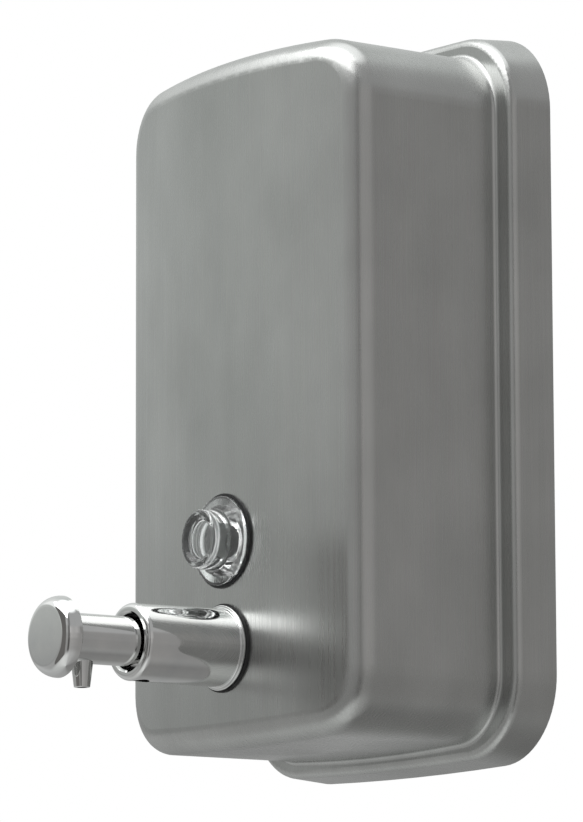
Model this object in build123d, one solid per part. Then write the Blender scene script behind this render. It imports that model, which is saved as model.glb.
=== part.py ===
from build123d import *
import os
from math import cos, pi, sin, sqrt

# Wall mounted soap dispenser: a pressed steel tank on a wall plate, filled through a locked lid,
# with a push valve and a sight window in its bowed front.
# The wall is the plane y = 0, the front looks along -Y, and z = 0 is the middle of the rim.

# Pressed tank
SHEET = 0.8
TANK_WIDTH = 111.0
TANK_HEIGHT = 194.7
TANK_DEPTH = 60.4
TANK_CORNER = 18.0
TANK_CROWN = 2.35
TANK_DROP = 0.4
FRONT_BOW = 6.3
FRONT_EDGE = 7.1

# Rim: the step out of the tank and the skirt that goes back to the wall
FLANGE_SIDES = 8.0
FLANGE_ENDS = 5.65
RIM_DEPTH = 13.2
RIM_CORNER = 23.7
RIM_CROWN = 1.6
RIM_DRAFT = 1.15
RIM_EDGE = 2.4
RIM_EDGE_SHARE = 0.58
STEP_FILLET = 1.4
STEP_FILLET_SHARE = 0.35

# Back, wall plate and hangers
BACK_SHEET = 0.8
PLATE_SHEET = 1.5
PLATE_WIDTH = 84.0
PLATE_TOP = 62.0
PLATE_BOTTOM = -72.0
PLATE_CORNER = 6.0
HOLE_SPACING_X = 64.0
HOLE_SPACING_Z = 110.0
HOLE_RADIUS = 2.6
TONGUE_WIDTH = 50.0
TONGUE_STANDOFF = 6.6
TONGUE_RISE = 6.5
TONGUE_HEIGHT = 15.0
LOWER_TONGUE_TOP = -28.0
LANCE_GAP = 3.0
HANGER_SHEET = 1.2
HANGER_LEG = 20.0
HANGER_LIP = 14.5
HANGER_GAP = 1.5
BEND = 1.0
SEAT_GAP = 0.3

# Filler mouth, lid and hinge
MOUTH_WIDTH = 40.0
MOUTH_DEPTH = 22.0
MOUTH_CORNER = 5.0
MOUTH_FROM_WALL = 35.0
LID_SHEET = 0.8
LID_LAP = 3.0
LID_LIP = 0.8
LID_SEAL = 0.5
LID_SEAL_WIDTH = 1.6
LID_GAP = 0.2
HINGE_FROM_WALL = 18.6
HINGE_LENGTH = 28.0
KNUCKLE_LENGTH = 9.4
KNUCKLE_RADIUS = 1.6
KNUCKLE_GAP = 0.3
HINGE_PIN_RADIUS = 0.8
LEAF_SHEET = 0.6
LEAF_DEPTH = 3.2

# Cam lock
LOCK_FROM_WALL = 38.0
LOCK_FACE_RADIUS = 6.5
LOCK_FACE = 0.6
LOCK_RADIUS = 5.0
LOCK_LENGTH = 4.2
LOCK_PLUG_RADIUS = 3.5
LOCK_NUT_ACROSS = 13.5
LOCK_NUT = 1.6
KEY_SLOT_LENGTH = 4.6
KEY_SLOT_WIDTH = 1.0
KEY_SLOT_DEPTH = 2.6
CAM_SHEET = 1.5
CAM_WIDTH = 6.4
CAM_REACH = 10.0
CAM_PAD = 1.7
CAM_SCREW_RADIUS = 1.2
CAM_SCREW_HEAD_RADIUS = 2.2
CAM_SCREW_HEAD = 1.2
CAM_SCREW_LENGTH = 3.2

# Sight window
WINDOW_ABOVE_VALVE = 29.8
WINDOW_FLANGE_RADIUS = 12.4
WINDOW_FLANGE = 1.2
WINDOW_CONE = 1.7
WINDOW_STEP_RADIUS = 8.7
WINDOW_NOSE_RADIUS = 8.1
WINDOW_NOSE = 5.4
WINDOW_ROUND = 0.9
WINDOW_STEP_ROUND = 0.4
WINDOW_EDGE = 0.3
WINDOW_CUP_ROUND = 0.5
WINDOW_DISH_RADIUS = 6.6
WINDOW_DISH = 0.8
WINDOW_WALL = 2.2
WINDOW_NECK = 7.0
WINDOW_GASKET_RADIUS = 13.2
WINDOW_GASKET_WIDTH = 1.8
WINDOW_GASKET = 0.4

# Push valve: what shows
VALVE_ABOVE_BOTTOM = 27.25
VALVE_GASKET_RADIUS = 12.3
VALVE_GASKET = 0.5
SLEEVE_LENGTH = 31.4
SLEEVE_FOOT = 0.9
SLEEVE_FOOT_RIM = 0.95
SLEEVE_FOOT_EDGE = 0.25
SLEEVE_BASE_RADIUS = 10.85
SLEEVE_MOUTH_RADIUS = 10.65
SLEEVE_LIP = 1.6
SLEEVE_BASE_ROUND = 0.5
SLEEVE_MOUTH_BORE = 7.8
MOUTH_CHAMFER = 0.6
DRAIN_RADIUS = 2.6
DRAIN_BEHIND_MOUTH = 4.2
STEM_RADIUS = 6.8
STEM_SHOWN = 19.45
STEM_SPARE = 1.0
STEM_BORE = 5.5
STEM_PLUG = 17.0
BUTTON_RADIUS = 11.2
BUTTON_THICKNESS = 7.15
BUTTON_FACE_RADIUS = 7.8
BUTTON_STEP_RADIUS = 10.2
BUTTON_RIM = 5.5
BUTTON_SPIGOT_RADIUS = 2.6
BUTTON_SPIGOT = 2.0
SPOUT_FROM_BUTTON = 4.75
SPOUT_REACH = 13.3
SPOUT_RADIUS = 3.0
SPOUT_TIP_RADIUS = 2.2
SPOUT_BORE = 1.4
SPOUT_SPIGOT_RADIUS = 2.4
SPOUT_SPIGOT = 3.6
STROKE = 11.0

# Push valve: what the tank hides
NECK_RADIUS = 9.0
NECK_LAP = 7.0
HOLE_CLEARANCE = 0.2
NUT_ACROSS = 24.0
NUT_HEIGHT = 4.5
NUT_CHAMFER = 1.0
WASHER_RADIUS = 12.8
WASHER = 1.4
SLIDE_CLEARANCE = 0.08
PRESS_CLEARANCE = 0.03
WIPER_LENGTH = 2.0
WIPER_SPARE = 1.2
CYLINDER_FLANGE_RADIUS = 7.9
CYLINDER_FLANGE = 5.0
CYLINDER_RADIUS = 6.5
CYLINDER_BORE = 5.0
ROD_RADIUS = 3.0
ROD_BORE = 1.6
ROD_SEAT = 4.0
BUSH_LENGTH = 2.2
PISTON_RADIUS = 4.9
PISTON_LENGTH = 6.0
PISTON_SEAL_LENGTH = 2.0
PISTON_SEAL_DEPTH = 1.2
PISTON_SOCKET = 3.0
CAP_RADIUS = 7.4
CAP_LENGTH = 5.6
CAP_CLEARANCE = 9.0
CAP_PLUG = 3.0
CAP_WALL = 1.4
CAP_SPIGOT_RADIUS = 2.6
INLET_BORE = 1.6
INLET_PORT_RADIUS = 0.6
INLET_PORT_CIRCLE = 1.9
INLET_PORTS = 6
PLENUM_RADIUS = 3.0
FLAP_RADIUS = 3.3
FLAP_THICKNESS = 0.6
FLAP_STEM_RADIUS = 0.7
TUBE_WALL = 0.9
TUBE_LAP = 3.4
TUBE_FLOOR_GAP = 2.5
TUBE_SLANT = 20.0
DUCKBILL_LENGTH = 2.6
DUCKBILL_COLLAR = 0.8
DUCKBILL_LIPS = 0.7
DUCKBILL_WIDTH = 2.0
DUCKBILL_SLIT = 0.15
SPRING_RADIUS = 4.2
SPRING_WIRE = 0.4
SPRING_TURNS = 6
SPRING_ROOM = 9.5

# Places worked out from the sizes above
RIM_WIDTH = TANK_WIDTH + 2 * FLANGE_SIDES
RIM_HEIGHT = TANK_HEIGHT + 2 * FLANGE_ENDS
FRONT_Y = -(TANK_DEPTH + FRONT_BOW)
BOW_RADIUS = ((TANK_WIDTH / 2) ** 2 + FRONT_BOW**2) / (2 * FRONT_BOW)
CROWN_RADIUS = ((TANK_WIDTH / 2) ** 2 + TANK_CROWN**2) / (2 * TANK_CROWN)
TOP_Z = TANK_HEIGHT / 2 - TANK_DROP
FLOOR_Z = -TANK_HEIGHT / 2 - TANK_DROP + SHEET
FLANGE_FLAT = FLANGE_ENDS - RIM_DRAFT - TANK_DROP
EDGE_ROUND = min(RIM_EDGE, RIM_EDGE_SHARE * FLANGE_FLAT)
STEP_ROUND = min(STEP_FILLET, STEP_FILLET_SHARE * FLANGE_FLAT)
BACK_LAP = STEP_ROUND + (FLANGE_FLAT - EDGE_ROUND - STEP_ROUND) / 2
BACK_Y = -(RIM_DEPTH - SHEET - BACK_SHEET)
VALVE_Z = -TANK_HEIGHT / 2 + VALVE_ABOVE_BOTTOM
WINDOW_Z = VALVE_Z + WINDOW_ABOVE_VALVE
PISTON_TRAVEL = PISTON_LENGTH + STROKE + SPRING_ROOM
PUMP_LENGTH = BUSH_LENGTH + SEAT_GAP + PISTON_TRAVEL + CAP_PLUG + CAP_LENGTH
CYLINDER_START = BACK_Y - BACK_SHEET - FRONT_Y - CAP_CLEARANCE - PUMP_LENGTH
NECK_LENGTH = CYLINDER_START + NECK_LAP
PISTON_START = CYLINDER_START + BUSH_LENGTH + SEAT_GAP
PISTON_END = PISTON_START + PISTON_LENGTH
CAP_FACE = PISTON_START + PISTON_TRAVEL
SLEEVE_MOUTH = VALVE_GASKET + SLEEVE_LENGTH
STEM_FRONT = SLEEVE_MOUTH + STEM_SHOWN
STEM_BACK = STROKE + STEM_SPARE - CYLINDER_START
SPOUT_AT = STEM_FRONT - SPOUT_FROM_BUTTON
DRAIN_AT = SLEEVE_MOUTH - DRAIN_BEHIND_MOUTH
WIPER_SEAT = DRAIN_AT - DRAIN_RADIUS - WIPER_SPARE - WIPER_LENGTH
CYLINDER_END = CAP_FACE + CAP_PLUG
TUBE_RADIUS = CAP_SPIGOT_RADIUS + PRESS_CLEARANCE + TUBE_WALL
TUBE_TOP = VALVE_Z - CAP_RADIUS - SEAT_GAP
LID_UNDER = LID_GAP + LID_SEAL
LID_TOP = LID_UNDER + LID_SHEET
HINGE_Z = TOP_Z + KNUCKLE_RADIUS + LEAF_SHEET / 2

os.makedirs("parts", exist_ok=True)


def write(shape, node):
    """One piece to its own file."""
    export_step(shape, f"parts/{node}.step")


def crowned_outline(width, height, crown, corner):
    """A rectangle with rounded corners whose top and bottom rise by crown in the middle."""
    side = width / 2
    middle = height / 2
    shoulder = middle - crown
    sides = [
        ThreePointArc((-side, shoulder), (0, middle), (side, shoulder)),
        Line((side, shoulder), (side, -shoulder)),
        ThreePointArc((side, -shoulder), (0, -middle), (-side, -shoulder)),
        Line((-side, -shoulder), (-side, shoulder)),
    ]
    face = make_face(sides)
    return fillet(face.vertices(), corner)


def tank_outline(lap):
    """The tank seen from the front, grown by lap."""
    grown = crowned_outline(TANK_WIDTH + 2 * lap, TANK_HEIGHT + 2 * lap, TANK_CROWN, TANK_CORNER + lap)
    return Pos(0, -TANK_DROP) * grown


def pressing(inset):
    """The pressing as a full block, with every surface moved in by inset."""
    reach = RIM_DEPTH - inset
    wide = RIM_WIDTH - 2 * inset
    high = RIM_HEIGHT - 2 * inset
    at_wall = crowned_outline(wide, high, RIM_CROWN, RIM_CORNER - inset)
    at_step = crowned_outline(
        wide - 2 * RIM_DRAFT, high - 2 * RIM_DRAFT, RIM_CROWN, RIM_CORNER - RIM_DRAFT - inset
    )
    rim = loft([Plane.XZ * at_wall, Plane.XZ.offset(reach) * at_step], ruled=True)
    rim = fillet(rim.faces().sort_by(Axis.Y)[0].edges(), EDGE_ROUND - inset)

    tank = extrude(Plane.XZ * tank_outline(-inset), -FRONT_Y)
    bow = Pos(0, FRONT_Y + BOW_RADIUS, 0) * Cylinder(BOW_RADIUS - inset, RIM_HEIGHT)
    tank = tank & bow
    tank = fillet(tank.faces().sort_by(Axis.Y)[0].edges(), FRONT_EDGE - inset)

    block = rim + tank
    flange = block.faces().filter_by(Axis.Y).sort_by(Axis.Y)[0]
    return fillet(flange.inner_wires()[0].edges(), STEP_ROUND + inset)


def crowned_slab(outline, low, high):
    """The outline, seen from above, as a slab that follows the tank's top from low to high above it."""
    above = Pos(0, 0, TOP_Z) * Rot(90, 0, 0)
    middle = Pos(0, -CROWN_RADIUS, 0)
    curve = middle * (Circle(CROWN_RADIUS + high) - Circle(CROWN_RADIUS + low))
    band = extrude(above * curve, -2 * FRONT_Y, both=True)
    column = extrude(Pos(0, 0, TOP_Z) * outline, TANK_DEPTH / 2, both=True)
    return column & band


def mouth_outline(lap):
    """The filler mouth seen from above, grown by lap."""
    grown = RectangleRounded(MOUTH_WIDTH + 2 * lap, MOUTH_DEPTH + 2 * lap, MOUTH_CORNER + lap)
    return Pos(0, -MOUTH_FROM_WALL) * grown


def turned(points, z, rounds=None):
    """A ring turned about the level axis at height z, from points of radius and distance before the front."""
    outline = FilletPolyline(*points, radius=rounds or [0] * len(points), close=True)
    plane = Plane(origin=(0, FRONT_Y, z), x_dir=(1, 0, 0), z_dir=(0, 0, -1))
    return revolve(plane * make_face(outline), Axis((0, FRONT_Y, z), (0, -1, 0)))


def tube(inner, outer, back, front, z):
    """A plain ring or tube on the level axis at height z, from back to front of the tank's front."""
    return turned([(inner, back), (outer, back), (outer, front), (inner, front)], z)


def rod(radius, back, front, z):
    """A plain round bar on the level axis at height z."""
    return Pos(0, FRONT_Y - (back + front) / 2, z) * Rot(90, 0, 0) * Cylinder(radius, front - back)


def upright(radius, x, y, low, high):
    """A plain round bar that stands up from low to high."""
    return Pos(x, y, (low + high) / 2) * Cylinder(radius, high - low)


def lengthwise(radius, y, z, left, right):
    """A plain round bar along X from left to right."""
    return Pos((left + right) / 2, y, z) * Rot(0, 90, 0) * Cylinder(radius, right - left)


def folded_strip(points, bend, sheet, width):
    """A strip of sheet bent along points of y and z, with its thickness on the left of the way they run."""
    line = FilletPolyline(*points, radius=bend)
    section = make_face(offset(line, amount=sheet, side=Side.LEFT))
    return extrude(Plane.YZ * section, width / 2, both=True)


# Tank: one drawn pressing, with a hole for the valve, one for the window and the filler mouth
outer = pressing(0)
inner = pressing(SHEET)
valve_hole = rod(NECK_RADIUS + HOLE_CLEARANCE, -TANK_DEPTH / 2, TANK_DEPTH / 2, VALVE_Z)
window_hole = rod(NECK_RADIUS + HOLE_CLEARANCE, -TANK_DEPTH / 2, TANK_DEPTH / 2, WINDOW_Z)
mouth_hole = crowned_slab(mouth_outline(0), -2 * SHEET, SHEET)
write(outer - inner - valve_hole - window_hole - mouth_hole, "tank_shell")

# Back: a flat sheet welded to the inside of the step all round
back_outline = tank_outline(BACK_LAP)
write(extrude(Plane.XZ.offset(-BACK_Y) * back_outline, BACK_SHEET), "tank_back")

# Wall plate: flat on the wall, with one tongue above it and one lanced out of it
upper_tongue_top = PLATE_TOP + TONGUE_RISE + TONGUE_HEIGHT


def tongue(top):
    """A strip that leaves the plate's plane, stands off the wall and ends at top."""
    fold = top - TONGUE_HEIGHT
    points = [
        (0, fold - TONGUE_RISE - 3 * LANCE_GAP),
        (0, fold - TONGUE_RISE),
        (-TONGUE_STANDOFF, fold),
        (-TONGUE_STANDOFF, top),
    ]
    return folded_strip(points, BEND, PLATE_SHEET, TONGUE_WIDTH)


plate_outline = Pos(0, (PLATE_TOP + PLATE_BOTTOM) / 2) * RectangleRounded(
    PLATE_WIDTH, PLATE_TOP - PLATE_BOTTOM, PLATE_CORNER
)
lance_bottom = LOWER_TONGUE_TOP - TONGUE_HEIGHT - TONGUE_RISE
lance_top = LOWER_TONGUE_TOP + LANCE_GAP
lance = Pos(0, (lance_bottom + lance_top) / 2) * RectangleRounded(
    TONGUE_WIDTH + 2 * LANCE_GAP, lance_top - lance_bottom, LANCE_GAP
)
holes = GridLocations(HOLE_SPACING_X, HOLE_SPACING_Z, 2, 2) * Circle(HOLE_RADIUS)
plate = extrude(Plane.XZ * (plate_outline - lance - holes), PLATE_SHEET)
write(plate + tongue(upper_tongue_top) + tongue(LOWER_TONGUE_TOP), "wall_plate")

# Hangers: channels welded to the back, each hooked over a tongue
lip_y = -TONGUE_STANDOFF + HANGER_GAP


def hanger(top):
    """A channel, open downwards, that sits on a tongue which ends at top."""
    ceiling = top + SEAT_GAP + HANGER_SHEET
    points = [
        (lip_y + HANGER_SHEET, ceiling - HANGER_LIP - HANGER_SHEET),
        (lip_y + HANGER_SHEET, ceiling),
        (BACK_Y, ceiling),
        (BACK_Y, ceiling - HANGER_LEG),
    ]
    return folded_strip(points, BEND + HANGER_SHEET, HANGER_SHEET, TONGUE_WIDTH)


write(Compound([hanger(upper_tongue_top), hanger(LOWER_TONGUE_TOP)]), "hanger_channels")

# Lid: a crowned sheet with a turned-down lip, its hinge knuckle and the hole for the lock
hinge_y = -HINGE_FROM_WALL
lock_y = -LOCK_FROM_WALL
lid_outline = mouth_outline(LID_LAP)
knuckle_half = KNUCKLE_LENGTH / 2
lid_back = -MOUTH_FROM_WALL + MOUTH_DEPTH / 2
lid_tail = Pos(0, (hinge_y + lid_back) / 2) * Rectangle(KNUCKLE_LENGTH, hinge_y - lid_back)
lid = crowned_slab(lid_outline + lid_tail, LID_UNDER, LID_TOP)
lid += crowned_slab(lid_outline - mouth_outline(LID_LAP - LID_LIP), LID_GAP, LID_TOP)
lid += lengthwise(KNUCKLE_RADIUS, hinge_y, HINGE_Z, -knuckle_half, knuckle_half)
lid -= lengthwise(HINGE_PIN_RADIUS + SLIDE_CLEARANCE, hinge_y, HINGE_Z, -HINGE_LENGTH, HINGE_LENGTH)
lid -= upright(LOCK_RADIUS + HOLE_CLEARANCE, 0, lock_y, TOP_Z - LOCK_LENGTH, TOP_Z + LOCK_LENGTH)
write(lid, "filler_lid")

# Seal: glued under the lid, inside its lip
seal_lap = LID_LAP - LID_LIP - HOLE_CLEARANCE
seal_outline = mouth_outline(seal_lap) - mouth_outline(seal_lap - LID_SEAL_WIDTH)
write(crowned_slab(seal_outline, LID_GAP, LID_UNDER), "lid_gasket")

# Hinge: a leaf welded on the tank's top with a knuckle at each end, and the pin through all three
leaf_outline = Pos(0, hinge_y + LEAF_DEPTH / 2) * Rectangle(HINGE_LENGTH, LEAF_DEPTH)
leaf = crowned_slab(leaf_outline, 0, LEAF_SHEET)
leaf += lengthwise(KNUCKLE_RADIUS, hinge_y, HINGE_Z, -HINGE_LENGTH / 2, HINGE_LENGTH / 2)
clear_half = knuckle_half + KNUCKLE_GAP
clear_span = Pos(0, hinge_y, HINGE_Z) * Box(2 * clear_half, 4 * KNUCKLE_RADIUS, 3 * KNUCKLE_RADIUS)
leaf -= clear_span
leaf -= lengthwise(HINGE_PIN_RADIUS + PRESS_CLEARANCE, hinge_y, HINGE_Z, -HINGE_LENGTH, HINGE_LENGTH)
bridge = Pos(0, hinge_y + LEAF_DEPTH - LEAF_SHEET / 2) * Rectangle(HINGE_LENGTH, LEAF_SHEET)
leaf += crowned_slab(bridge, 0, LEAF_SHEET)
write(leaf, "hinge_leaf")
hinge_pin = lengthwise(HINGE_PIN_RADIUS, hinge_y, HINGE_Z, -HINGE_LENGTH / 2, HINGE_LENGTH / 2)
write(hinge_pin, "hinge_pin")

# Lock: a housing clamped in the lid by a nut, a plug that the key turns, and the cam under it
lock_face_top = TOP_Z + LID_TOP + LOCK_FACE
lock_bottom = TOP_Z + LID_TOP - LOCK_LENGTH
housing = upright(LOCK_FACE_RADIUS, 0, lock_y, TOP_Z + LID_TOP, lock_face_top)
housing = fillet(housing.edges().sort_by(Axis.Z)[-1], LOCK_FACE / 2)
housing += upright(LOCK_RADIUS, 0, lock_y, lock_bottom, TOP_Z + LID_TOP)
housing -= upright(LOCK_PLUG_RADIUS + SLIDE_CLEARANCE, 0, lock_y, lock_bottom, lock_face_top)
write(housing, "lock_housing")

nut_sag = (LOCK_NUT_ACROSS / sqrt(3)) ** 2 / (2 * CROWN_RADIUS)
nut_top = TOP_Z + LID_UNDER - nut_sag - PRESS_CLEARANCE
lock_nut = extrude(
    Pos(0, lock_y, nut_top) * RegularPolygon(LOCK_NUT_ACROSS / 2, 6, major_radius=False), -LOCK_NUT
)
lock_nut -= upright(LOCK_RADIUS + PRESS_CLEARANCE, 0, lock_y, TOP_Z - LOCK_LENGTH, nut_top)
write(lock_nut, "lock_nut")

cam_top = lock_bottom - SEAT_GAP
plug = upright(LOCK_PLUG_RADIUS, 0, lock_y, cam_top, lock_face_top)
plug -= Pos(0, lock_y, lock_face_top) * Box(KEY_SLOT_LENGTH, KEY_SLOT_WIDTH, 2 * KEY_SLOT_DEPTH)
screw_top = cam_top - CAM_SHEET + CAM_SCREW_LENGTH
plug -= upright(CAM_SCREW_RADIUS + PRESS_CLEARANCE, 0, lock_y, cam_top, screw_top)
write(plug, "lock_plug")

cam_outline = Pos(CAM_REACH / 2, 0) * SlotCenterToCenter(CAM_REACH, CAM_WIDTH)
cam = extrude(Pos(0, lock_y, cam_top) * cam_outline, -CAM_SHEET)
pad_length = CAM_WIDTH / 2
pad_x = CAM_REACH + CAM_WIDTH / 2 - pad_length
pad = Pos(pad_x, lock_y, cam_top + CAM_PAD / 2) * Box(pad_length, CAM_WIDTH / 2, CAM_PAD)
cam += pad
cam -= upright(CAM_SCREW_RADIUS + PRESS_CLEARANCE, 0, lock_y, cam_top - CAM_SHEET, cam_top)
write(cam, "lock_cam")

screw = upright(CAM_SCREW_RADIUS, 0, lock_y, cam_top - CAM_SHEET, screw_top)
head = upright(CAM_SCREW_HEAD_RADIUS, 0, lock_y, cam_top - CAM_SHEET - CAM_SCREW_HEAD, cam_top - CAM_SHEET)
screw += fillet(head.edges().sort_by(Axis.Z)[0], CAM_SCREW_HEAD / 3)
write(screw, "cam_screw")

# Sight window: a clear cup with a flange, a cone and a stepped nose, open to the soap behind
flange_back = WINDOW_GASKET
flange_front = flange_back + WINDOW_FLANGE
cone_front = flange_front + WINDOW_CONE
nose_front = cone_front + WINDOW_NOSE
cup_radius = WINDOW_DISH_RADIUS - WINDOW_WALL / 2
flange_rounds = [WINDOW_EDGE, WINDOW_EDGE]
nose_rounds = [WINDOW_STEP_ROUND, WINDOW_ROUND, WINDOW_EDGE]
window_rounds = [0, 0, 0] + flange_rounds + nose_rounds + [0, 0, 0, WINDOW_CUP_ROUND]
window = turned(
    [
        (cup_radius, -WINDOW_NECK),
        (NECK_RADIUS, -WINDOW_NECK),
        (NECK_RADIUS, flange_back),
        (WINDOW_FLANGE_RADIUS, flange_back),
        (WINDOW_FLANGE_RADIUS, flange_front),
        (WINDOW_STEP_RADIUS, cone_front),
        (WINDOW_NOSE_RADIUS, nose_front),
        (WINDOW_DISH_RADIUS, nose_front),
        (cup_radius, nose_front - WINDOW_DISH),
        (0, nose_front - WINDOW_DISH),
        (0, nose_front - WINDOW_DISH - WINDOW_WALL),
        (cup_radius, nose_front - WINDOW_DISH - WINDOW_WALL),
    ],
    WINDOW_Z,
    window_rounds,
)
write(window, "sight_window")

# Gaskets: rings outside, cut to the bow of the front, a narrow one under the window's edge
ring_bore = NECK_RADIUS + HOLE_CLEARANCE
window_ring_bore = WINDOW_GASKET_RADIUS - WINDOW_GASKET_WIDTH
window_ring = tube(window_ring_bore, WINDOW_GASKET_RADIUS, -FRONT_BOW / 2, WINDOW_GASKET, WINDOW_Z)
valve_ring = tube(ring_bore, VALVE_GASKET_RADIUS, -FRONT_BOW / 2, VALVE_GASKET, VALVE_Z)
write(window_ring - outer, "window_gasket")
write(valve_ring - outer, "valve_gasket")

# Washers and nuts that clamp window and valve from inside the tank
nut_front = -(SHEET + WASHER)


def clamp_washer(z):
    """A ring that fills the bow between the sheet and the flat face of the nut."""
    ring = tube(ring_bore, WASHER_RADIUS, nut_front, 0, z)
    return ring & inner


def clamp_nut(z):
    """A thin six-sided nut on the neck, with its corners turned off."""
    six = RegularPolygon(NUT_ACROSS / 2, 6, major_radius=False)
    nut = extrude(Plane.XZ * Pos(0, z) * six, NUT_HEIGHT)
    nut = Pos(0, FRONT_Y - nut_front + NUT_HEIGHT, 0) * nut
    corner = NUT_ACROSS / sqrt(3)
    turned_off = turned(
        [
            (NECK_RADIUS + PRESS_CLEARANCE, nut_front),
            (corner, nut_front),
            (corner, nut_front - NUT_HEIGHT + NUT_CHAMFER),
            (NUT_ACROSS / 2, nut_front - NUT_HEIGHT),
            (NECK_RADIUS + PRESS_CLEARANCE, nut_front - NUT_HEIGHT),
        ],
        z,
    )
    return nut & turned_off


write(clamp_washer(WINDOW_Z), "window_washer")
write(clamp_nut(WINDOW_Z), "window_nut")
write(clamp_washer(VALVE_Z), "valve_washer")
write(clamp_nut(VALVE_Z), "valve_nut")

# Valve sleeve: a tapered barrel with a rolled lip, a foot, a guide bore, a threaded neck and a drain hole
guide_bore = STEM_RADIUS + SLIDE_CLEARANCE
foot_radius = SLEEVE_BASE_RADIUS + SLEEVE_FOOT_RIM
foot_front = VALVE_GASKET + SLEEVE_FOOT
sleeve = turned(
    [
        (CYLINDER_FLANGE_RADIUS + PRESS_CLEARANCE, -NECK_LENGTH),
        (NECK_RADIUS, -NECK_LENGTH),
        (NECK_RADIUS, VALVE_GASKET),
        (foot_radius, VALVE_GASKET),
        (foot_radius, foot_front),
        (SLEEVE_BASE_RADIUS, foot_front),
        (SLEEVE_MOUTH_RADIUS, SLEEVE_MOUTH),
        (SLEEVE_MOUTH_BORE + MOUTH_CHAMFER, SLEEVE_MOUTH),
        (SLEEVE_MOUTH_BORE, SLEEVE_MOUTH - MOUTH_CHAMFER),
        (SLEEVE_MOUTH_BORE, WIPER_SEAT),
        (guide_bore, WIPER_SEAT),
        (guide_bore, -CYLINDER_START),
        (CYLINDER_FLANGE_RADIUS + PRESS_CLEARANCE, -CYLINDER_START),
    ],
    VALVE_Z,
    [0, 0, 0, SLEEVE_FOOT_EDGE, SLEEVE_FOOT_EDGE, SLEEVE_BASE_ROUND, SLEEVE_LIP, 0, 0, 0, 0, 0, 0],
)
drain = upright(DRAIN_RADIUS, 0, FRONT_Y - DRAIN_AT, VALVE_Z - foot_radius, VALVE_Z)
write(sleeve - drain, "valve_sleeve")

# Wiper: a ring seal pressed in behind the drain hole
wiper = tube(
    STEM_RADIUS + SLIDE_CLEARANCE / 2,
    SLEEVE_MOUTH_BORE - PRESS_CLEARANCE,
    WIPER_SEAT,
    WIPER_SEAT + WIPER_LENGTH,
    VALVE_Z,
)
write(wiper, "stem_wiper")

# Plunger stem: a bright tube with a solid front end, drilled for the soap to turn down to the spout
plug_back = STEM_FRONT - STEM_PLUG
stem = tube(STEM_BORE, STEM_RADIUS, STEM_BACK, STEM_FRONT, VALVE_Z)
stem += rod(STEM_BORE, plug_back, STEM_FRONT, VALVE_Z)
stem -= rod(ROD_RADIUS + PRESS_CLEARANCE, plug_back, plug_back + ROD_SEAT, VALVE_Z)
stem -= rod(ROD_BORE, plug_back, SPOUT_AT, VALVE_Z)
stem -= rod(BUTTON_SPIGOT_RADIUS + PRESS_CLEARANCE, STEM_FRONT - BUTTON_SPIGOT, STEM_FRONT, VALVE_Z)
spout_y = FRONT_Y - SPOUT_AT
stem -= upright(SPOUT_BORE, 0, spout_y, VALVE_Z - STEM_RADIUS, VALVE_Z)
spigot_top = VALVE_Z - STEM_RADIUS + SPOUT_SPIGOT
stem -= upright(SPOUT_SPIGOT_RADIUS + PRESS_CLEARANCE, 0, spout_y, VALVE_Z - 2 * STEM_RADIUS, spigot_top)
write(stem, "plunger_stem")

# Push button: a flat mirror face, a rounded shoulder, a fine step and a rolled rim
button_back = STEM_FRONT
button_front = button_back + BUTTON_THICKNESS
rim_front = button_back + BUTTON_RIM
button_outline = [
    Line((0, button_back - BUTTON_SPIGOT), (BUTTON_SPIGOT_RADIUS, button_back - BUTTON_SPIGOT)),
    Line((BUTTON_SPIGOT_RADIUS, button_back - BUTTON_SPIGOT), (BUTTON_SPIGOT_RADIUS, button_back)),
    Line((BUTTON_SPIGOT_RADIUS, button_back), (BUTTON_STEP_RADIUS, button_back)),
    ThreePointArc(
        (BUTTON_STEP_RADIUS, button_back),
        (BUTTON_RADIUS, button_back + BUTTON_RIM / 2),
        (BUTTON_STEP_RADIUS, rim_front),
    ),
    EllipticalCenterArc(
        (BUTTON_FACE_RADIUS, rim_front),
        BUTTON_STEP_RADIUS - BUTTON_FACE_RADIUS,
        button_front - rim_front,
        start_angle=0,
        arc_size=90,
    ),
    Line((BUTTON_FACE_RADIUS, button_front), (0, button_front)),
    Line((0, button_front), (0, button_back - BUTTON_SPIGOT)),
]
valve_plane = Plane(origin=(0, FRONT_Y, VALVE_Z), x_dir=(1, 0, 0), z_dir=(0, 0, -1))
button = revolve(valve_plane * make_face(button_outline), Axis((0, FRONT_Y, VALVE_Z), (0, -1, 0)))
write(button, "push_button")

# Spout: a tapered nozzle saddled on the stem, with a spigot in its cross hole
spout_tip = VALVE_Z - SPOUT_REACH
spout_length = SPOUT_REACH - STEM_RADIUS / 2
spout = Pos(0, spout_y, spout_tip + spout_length / 2) * Cone(
    SPOUT_TIP_RADIUS, SPOUT_RADIUS + (SPOUT_RADIUS - SPOUT_TIP_RADIUS) / 2, spout_length
)
spout = fillet(spout.edges().sort_by(Axis.Z)[0], SPOUT_TIP_RADIUS / 8)
spout -= rod(STEM_RADIUS, STEM_BACK, STEM_FRONT, VALVE_Z)
spout += upright(SPOUT_SPIGOT_RADIUS, 0, spout_y, VALVE_Z - STEM_RADIUS - SPOUT_SPIGOT / 4, spigot_top)
spout -= upright(SPOUT_BORE, 0, spout_y, spout_tip, spigot_top)
write(spout, "spout_nozzle")

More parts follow.
